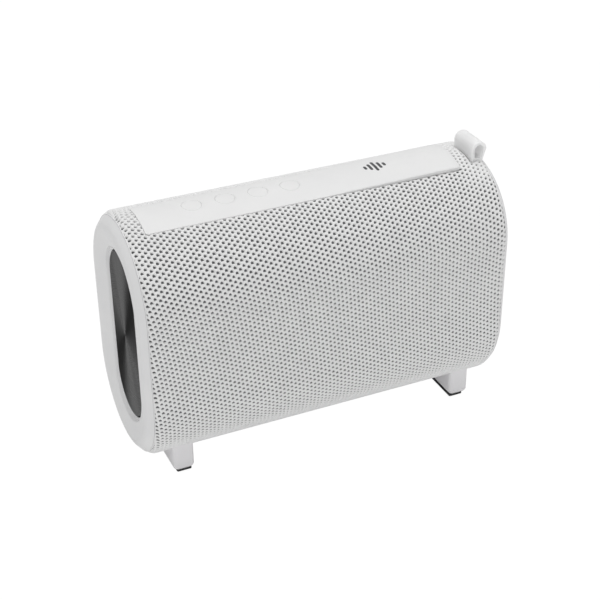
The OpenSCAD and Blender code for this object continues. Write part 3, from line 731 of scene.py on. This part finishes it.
def cap_profile():
    """Section of an end cap: rim, rounded crest, sloping dish and a thin double lip at the opening."""
    rim = rim_points(24)
    rim = rim[rim[:, 1] < CREST[0]]
    edge = [(SEAM_X + SEAM_GAP, rim[0, 1] + 0.3), (SEAM_X + 0.12, rim[0, 1] + 0.08)]
    low, top, high = rim[-1], np.array([END_X, RIM_W]), np.array(dish_at(CREST[1]))
    crest = []
    for t in np.linspace(0, 1, 11)[1:]:
        crest.append((1 - t) ** 2 * low + 2 * t * (1 - t) * top + t * t * high)
    dish = [dish_at(depth) for depth in np.linspace(CREST[1], LIP_IN, 6)[1:-1]]
    corners = [(*dish[-1], 0)] + cap_inside() + [(*edge[0], 0)]
    body = rounded([c[:2] for c in corners], [c[2] for c in corners], 4, closed=False)
    flat = np.concatenate([rim[1:], crest, dish, body[1:], edge[1:]])
    depth = flat[:, 1]
    stretch = OPENING_STRETCH * ramp(depth, RIM_W, LIP_IN)
    outside = flat[:, 0] > dish_at(depth)[0] - 0.4
    return np.column_stack([flat, stretch, np.where(outside, DISH_SLOPE * stretch, 0)])


def build_caps(mats):
    for side, name in ((-1, "left_end_cap"), (1, "right_end_cap")):
        profile = cap_profile() * (side, 1, 1, side)
        cap = swept_ring(name + "_shell", profile, "cabinet", mats["white_plastic"])
        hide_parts(name)


def plate_levels(edge_r):
    """Rings of a plate from its middle out: share of the outline, inset from it, and drop."""
    levels = []
    for t in np.linspace(0, 1, 16)[1:]:
        levels.append((t, edge_r, 0.0))
    for a in np.radians([22.5, 45, 67.5, 90]):
        levels.append((1.0, edge_r * (1 - math.sin(a)), edge_r * (1 - math.cos(a))))
    levels.append((1.0, 0.0, PLATE_T))
    return levels


def build_plates(mats):
    """The two radiator plates: discs cut to the pill outline, turned in fine rings."""
    outline = pill_loop(40)
    centre = (outline[:, 2] - MID_Z) * (1 + OPENING_STRETCH / HALF_FLAT)
    plate_r = R_BODY - PLATE_IN
    levels = plate_levels(0.35)
    n = len(outline)
    for side, which in ((-1, "left"), (1, "right")):
        verts = [(side * PLATE_X, 0, MID_Z)]
        for share, inset, drop in levels:
            y = outline[:, 0] * (plate_r - inset) * share
            z = MID_Z + (centre + outline[:, 1] * (plate_r - inset)) * share
            x = np.full(n, side * (PLATE_X - drop))
            verts += list(np.stack([x, y, z], -1))
        faces = [(0, 1 + k, 1 + (k + 1) % n) for k in range(n)]
        faces += [tuple(1 + i for i in f) for f in grid_faces(len(levels), n, False, True)]
        faces.append(tuple(1 + (len(levels) - 1) * n + k for k in range(n)))
        name = which + "_radiator_plate"
        body = which + "_radiator"
        plate = mesh_piece(name + "_disc", verts, faces, body, mats["spun_metal"], 40)
        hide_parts(name)


# ---- Key strip ----

# Height of the CAD strip above the body, and thickness
STRIP_H = 0.6
STRIP_T = 1.9
# Height of the strip's upper face at its left and right ends
STRIP_RISE = (0.1, 1.6)
KEY_T = 1.3
KEY_DISH = (4.2, 0.1)
# The skirts lie this far below the strip's upper face
SKIRT_H = -0.13
SKIRT_T = 0.5


def strip_rise(x):
    """The strip lies flush at its left end and stands a little proud at its right."""
    t = ramp(x, -10, 75)
    return STRIP_RISE[0] + (STRIP_RISE[1] - STRIP_RISE[0]) * t * t * (3 - 2 * t)


def strip_top():
    """The strip's upper face, flat, with a round hole for each key."""
    length = 4
    per_side = 18
    key_rings = 6
    half = (KEY_X[1] - KEY_X[0]) / 2
    rows = np.linspace(STRIP_S[0], STRIP_S[1], per_side + 1)
    verts, faces = [], []

    def add_grid(x0, x1):
        count = max(2, int(abs(x1 - x0) / length) + 1)
        base = len(verts)
        for x in np.linspace(x0, x1, count):
            verts.extend((x, s, 0) for s in rows)
        faces.extend(tuple(base + i for i in f) for f in grid_faces(count, len(rows)))

    add_grid(STRIP_X[0], KEY_X[0] - half)
    add_grid(KEY_X[-1] + half, STRIP_X[1])
    cols = np.linspace(-half, half, per_side + 1)
    for key_x in KEY_X:
        border = [(half, s) for s in rows[:-1]]
        border += [(x, rows[-1]) for x in cols[:0:-1]]
        border += [(-half, s) for s in rows[:0:-1]]
        border += [(x, rows[0]) for x in cols[:-1]]
        border = np.array(border) + (key_x, 0)
        way = border - (key_x, KEY_S)
        way = way / np.linalg.norm(way, axis=1)[:, None]
        inner = np.array([key_x, KEY_S]) + KEY_HOLE_R * way
        base = len(verts)
        for t in np.linspace(0, 1, key_rings) ** 1.5:
            ring = inner + (border - inner) * t
            verts.extend((p[0], p[1], 0) for p in ring)
        faces.extend(tuple(base + i for i in f) for f in grid_faces(key_rings, len(border), False, True))
    bm = flat_bmesh(np.array(verts, float), faces)
    bmesh.ops.remove_doubles(bm, verts=bm.verts, dist=1e-3)
    bmesh.ops.recalc_face_normals(bm, faces=bm.faces)
    bm.faces.ensure_lookup_table()
    if bm.faces[0].normal.z < 0:
        bmesh.ops.reverse_faces(bm, faces=bm.faces)
    return bm


def strip_corners(bm):
    """The upright edges at the strip's four corners."""
    corners = []
    for e in bm.edges:
        a, b = e.verts
        upright = abs(a.co.z - b.co.z) > 1
        ends = min(abs(a.co.x - STRIP_X[0]), abs(a.co.x - STRIP_X[1])) < 1e-3
        sides = min(abs(a.co.y - STRIP_S[0]), abs(a.co.y - STRIP_S[1])) < 1e-3
        if upright and ends and sides:
            corners.append(e)
    return corners


def strip_rim(bm):
    """The edges where the strip's upper face meets its sides and the key holes."""
    rim = []
    for e in bm.edges:
        if len(e.link_faces) == 2 and min(v.co.z for v in e.verts) > -1e-3:
            up = [abs(f.normal.z) for f in e.link_faces]
            if min(up) < 0.2 and max(up) > 0.8:
                rim.append(e)
    return rim


def build_strip(mats):
    """The silicone key strip, with round corners and soft edges."""
    bm = strip_top()
    out = bmesh.ops.extrude_face_region(bm, geom=bm.faces[:])
    lowered = [g for g in out["geom"] if isinstance(g, bmesh.types.BMVert)]
    bmesh.ops.translate(bm, verts=lowered, vec=(0, 0, -STRIP_T))
    bmesh.ops.recalc_face_normals(bm, faces=bm.faces)
    bmesh.ops.bevel(bm, geom=strip_corners(bm), offset=1.1, segments=4, profile=0.5, affect="EDGES")
    bmesh.ops.bevel(bm, geom=strip_rim(bm), offset=0.4, segments=3, profile=0.5, affect="EDGES")
    bmesh.ops.recalc_face_normals(bm, faces=bm.faces)
    strip = wrap_solid("key_strip", bm, "cabinet", mats["silicone"])
    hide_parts("control_strip")


def strip_height(x, s, h):
    """Height above the body of a place in the strip, with h = 0 at its upper face."""
    deep = np.clip(-h / STRIP_T, 0, 1)
    return strip_rise(x) * (1 - deep) + STRIP_H * deep + h


def wrap_solid(name, bm, body, material):
    """Lays a flat solid (x, s, h) on the body, with its h = 0 at the strip's upper face."""
    mesh, _, _ = laid_mesh(name, bm, strip_height)
    mesh.flip_normals()
    mesh.set_sharp_from_angle(angle=math.radians(40))
    return finish_piece(bpy.data.objects.new(name, mesh), body, material)


def lathe(bm, centre, profile, steps=64, closed=False):
    """Adds to a flat solid a shape turned about an upright axis, from a profile of (r, h)."""
    angle = np.linspace(0, 2 * math.pi, steps, endpoint=False)
    rings = []
    for r, h in profile:
        if r == 0:
            rings.append([bm.verts.new((centre[0], centre[1], h))])
        else:
            ring = [(centre[0] + r * math.cos(a), centre[1] + r * math.sin(a), h) for a in angle]
            rings.append([bm.verts.new(p) for p in ring])
    pairs = list(zip(rings, rings[1:]))
    if closed:
        pairs.append((rings[-1], rings[0]))
    for a, b in pairs:
        for k in range(steps):
            m = (k + 1) % steps
            if len(a) == 1:
                bm.faces.new((a[0], b[k], b[m]))
            elif len(b) == 1:
                bm.faces.new((a[k], b[0], a[m]))
            else:
                bm.faces.new((a[k], b[k], b[m], a[m]))


def build_keys(mats):
    """Four round silicone keys, each in a shallow groove, and thin skirts that close the grooves."""
    names = ("power_button", "volume_down_button", "play_button", "volume_up_button")
    bodies = ("power_key", "volume_down_key", "play_key", "volume_up_key")
    edge = rounded([(KEY_R - 1.2, 0.0), (KEY_R, 0.0), (KEY_R, -KEY_T)], [0, 0.5, 0], 5, closed=False)
    dish_r, dish_depth = KEY_DISH
    dish = [(r, -dish_depth * (1 - (r / dish_r) ** 2)) for r in (0, 0.8, 1.6, 2.4, 3.2, 3.75)]
    profile = dish + [tuple(p) for p in edge[1:]] + [(0, -KEY_T)]
    inner, outer = KEY_R + 0.02, KEY_HOLE_R + 0.2
    top, foot = SKIRT_H, SKIRT_H - SKIRT_T
    section = [(inner, top), (outer, top), (outer, foot), (inner, foot)]
    skirts = bmesh.new()
    for key_x, name, body in zip(KEY_X, names, bodies):
        bm = bmesh.new()
        lathe(bm, (key_x, KEY_S), profile)
        bmesh.ops.recalc_face_normals(bm, faces=bm.faces)
        key = wrap_solid(name + "_top", bm, body, mats["silicone"])
        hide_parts(name)
        lathe(skirts, (key_x, KEY_S), section, closed=True)
    bmesh.ops.recalc_face_normals(skirts, faces=skirts.faces)
    wrap_solid("key_skirts", skirts, "cabinet", mats["silicone"])


def capsule(bm, x, half_w, s0, s1, base, top):
    """Adds a bar with round ends to a flat solid, in short lengths so that it bends with the body."""
    tip = [(half_w * (1 - math.cos(a)), half_w * math.sin(a)) for a in np.radians([12, 35, 60, 90])]
    rows = [(s0 + along, width) for along, width in tip]
    rows += [(s, half_w) for s in np.linspace(s0 + half_w, s1 - half_w, 6)[1:-1]]
    rows += [(s1 - along, width) for along, width in reversed(tip)]
    rings = []
    for s, width in rows:
        section = ((-width, base), (-width, top), (width, top), (width, base))
        rings.append([bm.verts.new((x + across, s, h)) for across, h in section])
    for a, b in zip(rings, rings[1:]):
        for k in range(4):
            m = (k + 1) % 4
            bm.faces.new((a[k], a[m], b[m], b[k]))
    bm.faces.new(rings[0])
    bm.faces.new(list(reversed(rings[-1])))


def build_mark(mats):
    """Five plain level bars, printed near the right end of the strip."""
    bm = bmesh.new()
    pitch = 2.6
    half_w = 0.75
    base, top = -0.2, 0.03
    middle_x, middle_s = 38.45, 2.4
    for k, tall in enumerate((3.2, 6.0, 9.0, 6.0, 3.2)):
        x = middle_x + (k - 2) * pitch
        capsule(bm, x, half_w, middle_s - tall / 2, middle_s + tall / 2, base, top)
    bmesh.ops.recalc_face_normals(bm, faces=bm.faces)
    wrap_solid("level_mark", bm, "cabinet", mats["print_ink"])


# ---- Strap loop and feet ----

def outline_piece(name, outlines, width, bevel, place, body, material):
    """A flat outline with holes, given a width and rounded edges, and set in place by a matrix."""
    curve = bpy.data.curves.new(name + "_outline", "CURVE")
    curve.dimensions = "2D"
    curve.fill_mode = "BOTH"
    curve.extrude = width / 2 - bevel
    curve.bevel_depth = bevel
    curve.bevel_resolution = 3
    curve.offset = -bevel
    for outline in outlines:
        spline = curve.splines.new("POLY")
        spline.points.add(len(outline) - 1)
        points = np.array([(p[0], p[1], 0, 1) for p in outline], np.float32)
        spline.points.foreach_set("co", points.ravel())
        spline.use_cyclic_u = True
    shape = bpy.data.objects.new(name + "_outline", curve)
    bpy.context.scene.collection.objects.link(shape)
    depsgraph = bpy.context.evaluated_depsgraph_get()
    mesh = bpy.data.meshes.new_from_object(shape.evaluated_get(depsgraph))
    bpy.data.objects.remove(shape)
    mesh.name = name
    bm = bmesh.new()
    bm.from_mesh(mesh)
    bmesh.ops.remove_doubles(bm, verts=bm.verts, dist=1e-4)
    bmesh.ops.recalc_face_normals(bm, faces=bm.faces)
    bm.to_mesh(mesh)
    bm.free()
    mesh.transform(Matrix.Scale(MM, 4) @ place)
    mesh.polygons.foreach_set("use_smooth", [True] * len(mesh.polygons))
    mesh.set_sharp_from_angle(angle=math.radians(35))
    return finish_piece(bpy.data.objects.new(name, mesh), body, material)


def arc(r, start, end, steps):
    """Points of an arc about the middle of the loop, between two angles in degrees."""
    return [(r * math.cos(a), r * math.sin(a)) for a in np.radians(np.linspace(start, end, steps))]


def build_loop(mats):
    """The silicone loop for a wrist strap: a band turned over on itself with its legs in the body."""
    inner_r = LOOP_R - LOOP_T
    back, front = (-4.2, 2.4)
    root_back, root_front = (-5.5, 2.6)
    leg_z, root_z, foot_z = (-6, -9.4, -12)
    outer = arc(LOOP_R, 8, 176, 40)
    outer += [(back, leg_z), (back, root_z), (root_back, root_z), (root_back, foot_z)]
    outer += [(root_front, foot_z), (root_front, root_z), (front, root_z), (front, leg_z)]
    eye_z = -4.5
    eye = [(-inner_r, 0), (0.2 - inner_r, eye_z), (inner_r - 0.9, eye_z), (inner_r, 0)]
    inner = arc(inner_r, 0, 180, 28)
    inner += rounded(eye, [0, 0.8, 0.8, 0], 4, False).tolist()[1:-1]
    width = LOOP_Y[1] - LOOP_Y[0]
    middle = (LOOP_Y[0] + LOOP_Y[1]) / 2
    place = Matrix.Translation((LOOP_X, middle, LOOP_Z)) @ Matrix.Rotation(math.pi / 2, 4, "X")
    look = mats["loop_silicone"]
    outlines = [outer, inner]
    loop = outline_piece("strap_loop_band", outlines, width, 0.45, place, "cabinet", look)
    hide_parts("strap_loop")


QUARTER = np.radians([0, 18, 36, 54, 72, 90])


def foot_levels():
    """Plans of a foot from its rounded lower edge up: half width, half length, corner and height."""
    end_r = 1.8
    levels = []
    for a in QUARTER:
        inset = FOOT_EDGE_R * (1 - math.sin(a))
        z = PAD_T + FOOT_EDGE_R * (1 - math.cos(a))
        corner = max(end_r - inset * 0.5, 0.3)
        levels.append((FOOT_W / 2 - inset, FOOT_L / 2 - inset * 0.35, corner, z))
    levels.append((FOOT_W / 2, FOOT_L / 2, end_r, None))
    return levels


def foot_ring(half_w, end, corner):
    """The right half of a foot's plan, front to back, and then its left half back to the front."""
    mid_x, mid_y = half_w - corner, end - corner
    right = []
    for a in QUARTER - math.pi / 2:
        right.append((mid_x + corner * math.cos(a), corner * math.sin(a) - mid_y))
    right += [(half_w, t * mid_y) for t in np.linspace(-1, 1, 41)[1:-1]]
    for a in QUARTER:
        right.append((mid_x + corner * math.cos(a), mid_y + corner * math.sin(a)))
    return right + [(-x, y) for x, y in reversed(right)]


def scooped_top(y):
    """Height of a foot's top, just inside the round underside of the body."""
    return LOW_Z - math.sqrt(R_BODY**2 - y**2) + 0.35


def build_feet(mats):
    """Two bars whose tops are scooped to sit against the round underside of the body."""
    levels = foot_levels()
    look = mats["foot_plastic"]
    for side, name in ((-1, "left_foot"), (1, "right_foot")):
        verts = []
        for half_w, end, corner, z in levels:
            ring = foot_ring(half_w, end, corner)
            for x, y in ring:
                verts.append((side * FOOT_X + x, y, scooped_top(y) if z is None else z))
        n = len(ring)
        faces = grid_faces(len(levels), n, False, True)
        for base in (0, (len(levels) - 1) * n):
            for k in range(n // 2 - 1):
                faces.append((base + k, base + k + 1, base + n - 2 - k, base + n - 1 - k))
        foot = mesh_piece(name + "_bar", verts, faces, "cabinet", look, 35)
        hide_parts(name)


# ---- CAD nodes that keep their shape ----

# Width of the softened edge of each node that shows
EDGES = {
    "left_foot_pad": 0.2,
    "right_foot_pad": 0.2,
    "port_panel": 0.25,
    "port_cover": 0.2,
    "usb_c_socket": 0.08,
    "aux_jack": 0.15,
    "strap_pin": 0.15,
}


def finish_nodes(mats):
    """Gives every CAD node its slot's material, and the visible ones a softened edge."""
    for part in frame["record"]["subparts"]:
        used = nodes[part["node"]].data.materials
        used.clear()
        used.append(mats[part["material_slot"]])
    for name, size in EDGES.items():
        mod = nodes[name].modifiers.new("soft_edges", "BEVEL")
        mod.width = size * MM
        mod.segments = 2
        mod.limit_method = "ANGLE"
        mod.angle_limit = math.radians(40)


# ---- Floor, light and camera ----

FLOOR_HALF = 4.0


def floor_sheet(name, height, tones, glow):
    """A large sheet of matt paper at a height, with soft clouds of tone and an even glow."""
    mat, tree, shader = new_material(name)
    place = object_place(tree)
    tone = two_tone(tree, spread(tree, noise(tree, place, 300), 0, 1), *tones)
    tree.links.new(tone, shader.inputs["Base Color"])
    shader.inputs["Roughness"].default_value = 0.9
    shader.inputs["Specular IOR Level"].default_value = 0.0
    shader.inputs["Emission Color"].default_value = (1, 1, 1, 1)
    shader.inputs["Emission Strength"].default_value = glow
    mesh = bpy.data.meshes.new(name)
    corners = [(x * FLOOR_HALF, y * FLOOR_HALF, height) for x, y in ((-1, -1), (1, -1), (1, 1), (-1, 1))]
    mesh.from_pydata(corners, [], [(0, 1, 2, 3)])
    mesh.materials.append(mat)
    sheet = bpy.data.objects.new(name, mesh)
    bpy.context.scene.collection.objects.link(sheet)
    return sheet


def build_floor():
    """A bright backing paper that only the camera sees, and a paper that throws light back up."""
    backing = floor_sheet("backing_paper", -0.001, ((0.14, 0.14, 0.14), (0.16, 0.16, 0.16)), 0.95)
    backing.visible_diffuse = False
    backing.visible_glossy = False
    bounce = floor_sheet("floor_paper", 0.0, ((0.86, 0.86, 0.86), (0.88, 0.88, 0.88)), 0.12)
    bounce.visible_camera = False


def area_light(name, place, target, size, power):
    """A softbox at a place, aimed at a target."""
    data = bpy.data.lights.new(name, "AREA")
    data.shape = "RECTANGLE"
    data.size, data.size_y = size
    data.energy = power
    obj = bpy.data.objects.new(name, data)
    obj.location = place
    aim = Vector(target) - Vector(place)
    obj.rotation_euler = aim.to_track_quat("-Z", "Y").to_euler()
    obj.visible_camera = False
    bpy.context.scene.collection.objects.link(obj)


def plate_sun(strength):
    """A small distant light from behind and below that reaches only the spun end plates."""
    toward = Vector((-0.114, 0.866, -0.486))
    data = bpy.data.lights.new("plate_sun", "SUN")
    data.angle = math.radians(3)
    data.energy = strength
    data.use_shadow = False
    obj = bpy.data.objects.new("plate_sun", data)
    obj.rotation_euler = (-toward).to_track_quat("-Z", "Y").to_euler()
    bpy.context.scene.collection.objects.link(obj)
    plates = bpy.data.collections.new("plates")
    for name in ("left_radiator_plate_disc", "right_radiator_plate_disc"):
        plates.objects.link(bpy.data.objects[name])
    obj.light_linking.receiver_collection = plates


def build_light():
    """An even white room, two softboxes and the sun of the end plates."""
    middle = (0, 0, 0.07)
    world = bpy.data.worlds.new("studio")
    world.use_nodes = True
    back = world.node_tree.nodes["Background"]
    back.inputs["Color"].default_value = (1, 1, 1, 1)
    back.inputs["Strength"].default_value = 0.5
    bpy.context.scene.world = world
    area_light("top_softbox", (0.1, 0.1, 1.5), middle, (1.6, 1.4), 12.5)
    area_light("front_softbox", (-0.7, -1.5, 0.9), middle, (1.2, 1.0), 4)
    plate_sun(0.04)


def build_camera():
    """The camera in front, to the left and above, looking down at the speaker."""
    place = (-0.2442, -0.5412, 0.4147)
    azimuth = math.radians(24.127)
    pitch = math.radians(30.564)
    roll = math.radians(-0.561)
    level = Vector((math.sin(azimuth), math.cos(azimuth), 0))
    ahead = math.cos(pitch) * level - math.sin(pitch) * Vector((0, 0, 1))
    right = Vector((math.cos(azimuth), -math.sin(azimuth), 0))
    up = right.cross(ahead)
    right, up = (
        math.cos(roll) * right + math.sin(roll) * up,
        math.cos(roll) * up - math.sin(roll) * right,
    )
    camera = bpy.data.cameras.new("camera")
    camera.lens = 79.92
    camera.sensor_width = 36
    camera.clip_start = 0.01
    camera.shift_x = -0.0004
    camera.shift_y = 0.0013
    obj = bpy.data.objects.new("camera", camera)
    turn = Matrix((right, up, -ahead)).transposed().to_4x4()
    obj.matrix_world = Matrix.Translation(place) @ turn
    bpy.context.scene.collection.objects.link(obj)
    bpy.context.scene.camera = obj


build_camera()
bpy.context.scene.view_settings.view_transform = "Standard"
materials = make_materials()
finish_nodes(materials)
build_knit(materials)
build_scrim(materials)
build_seam(materials)
build_caps(materials)
build_plates(materials)
build_strip(materials)
build_keys(materials)
build_mark(materials)
build_loop(materials)
build_feet(materials)
build_floor()
build_light()
